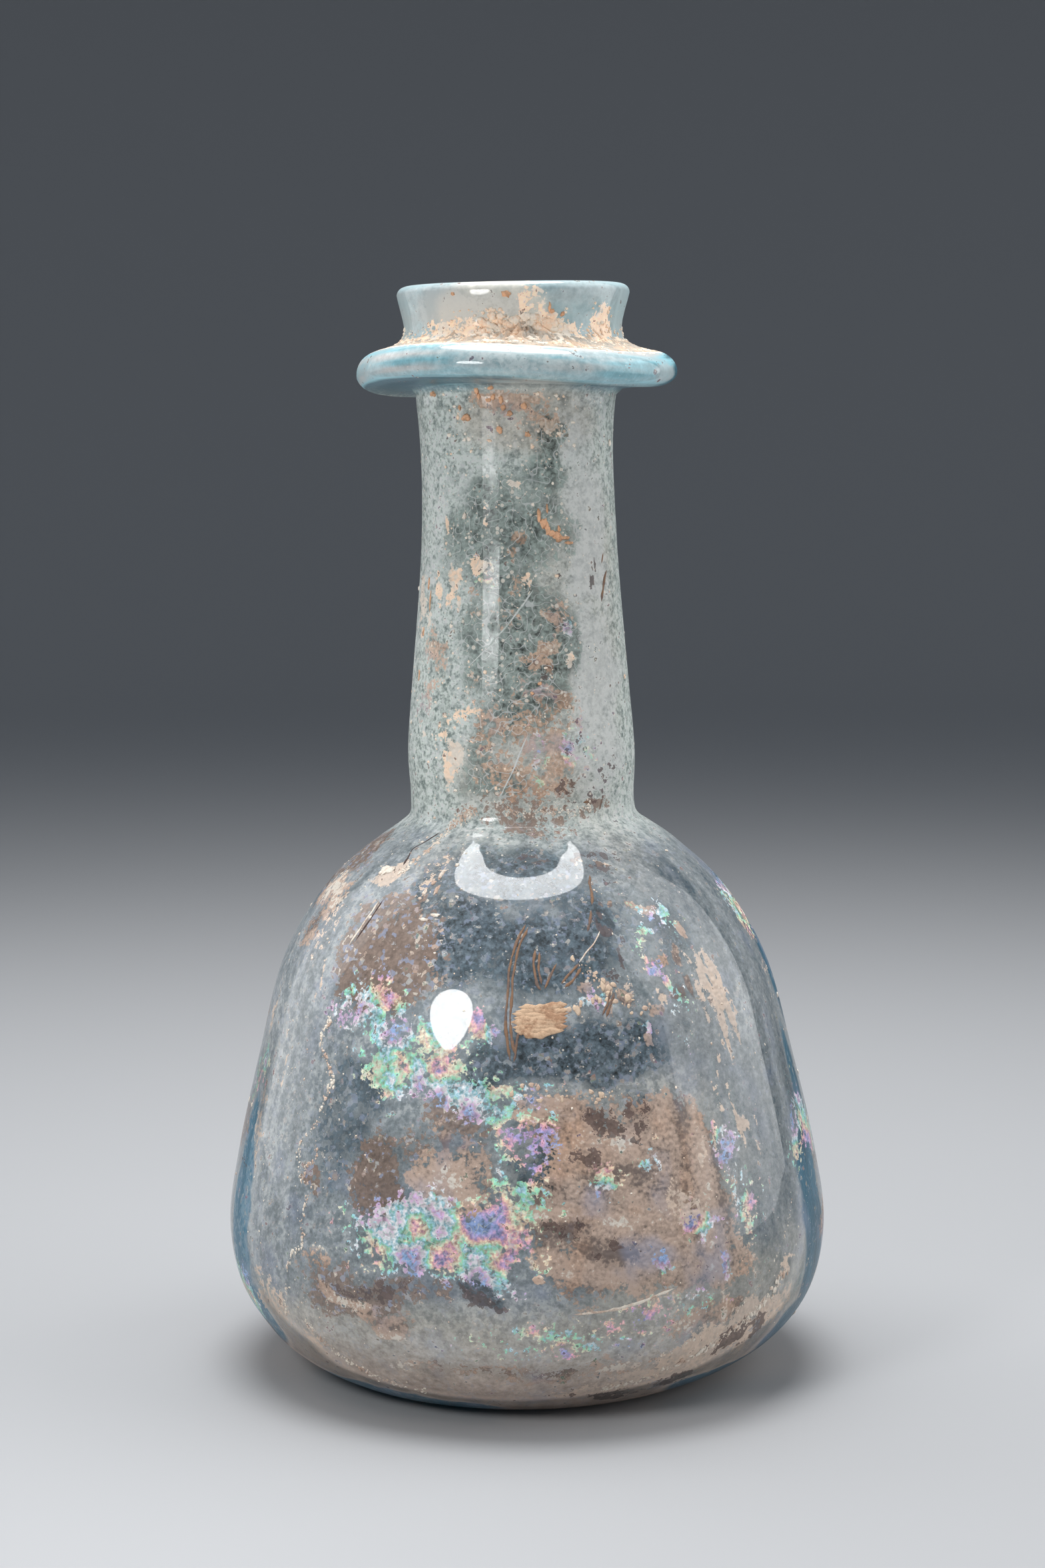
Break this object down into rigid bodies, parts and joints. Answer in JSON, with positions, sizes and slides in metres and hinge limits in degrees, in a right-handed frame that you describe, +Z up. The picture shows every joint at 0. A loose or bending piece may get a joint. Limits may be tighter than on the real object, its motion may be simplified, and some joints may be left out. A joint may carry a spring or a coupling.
{
  "type": "glass bottle",
  "caption": "Free-blown aqua glass bottle with a pear-shaped body, tall neck, flat collar and flared lip, weathered with earth and iridescent film.",
  "frame": {"origin": "centre of the body on the surface it stands on", "axes": "+Z up through the mouth, -Y towards the viewer of the picture, +X to the viewer's right"},
  "size_m": [0.084, 0.084, 0.1506],
  "materials": {
    "aqua_glass": "weathered, semi-matt with glossy patches"
  },
  "bodies": {
    "root": {"glass_bottle": "aqua_glass"}
  },
  "joints": []
}
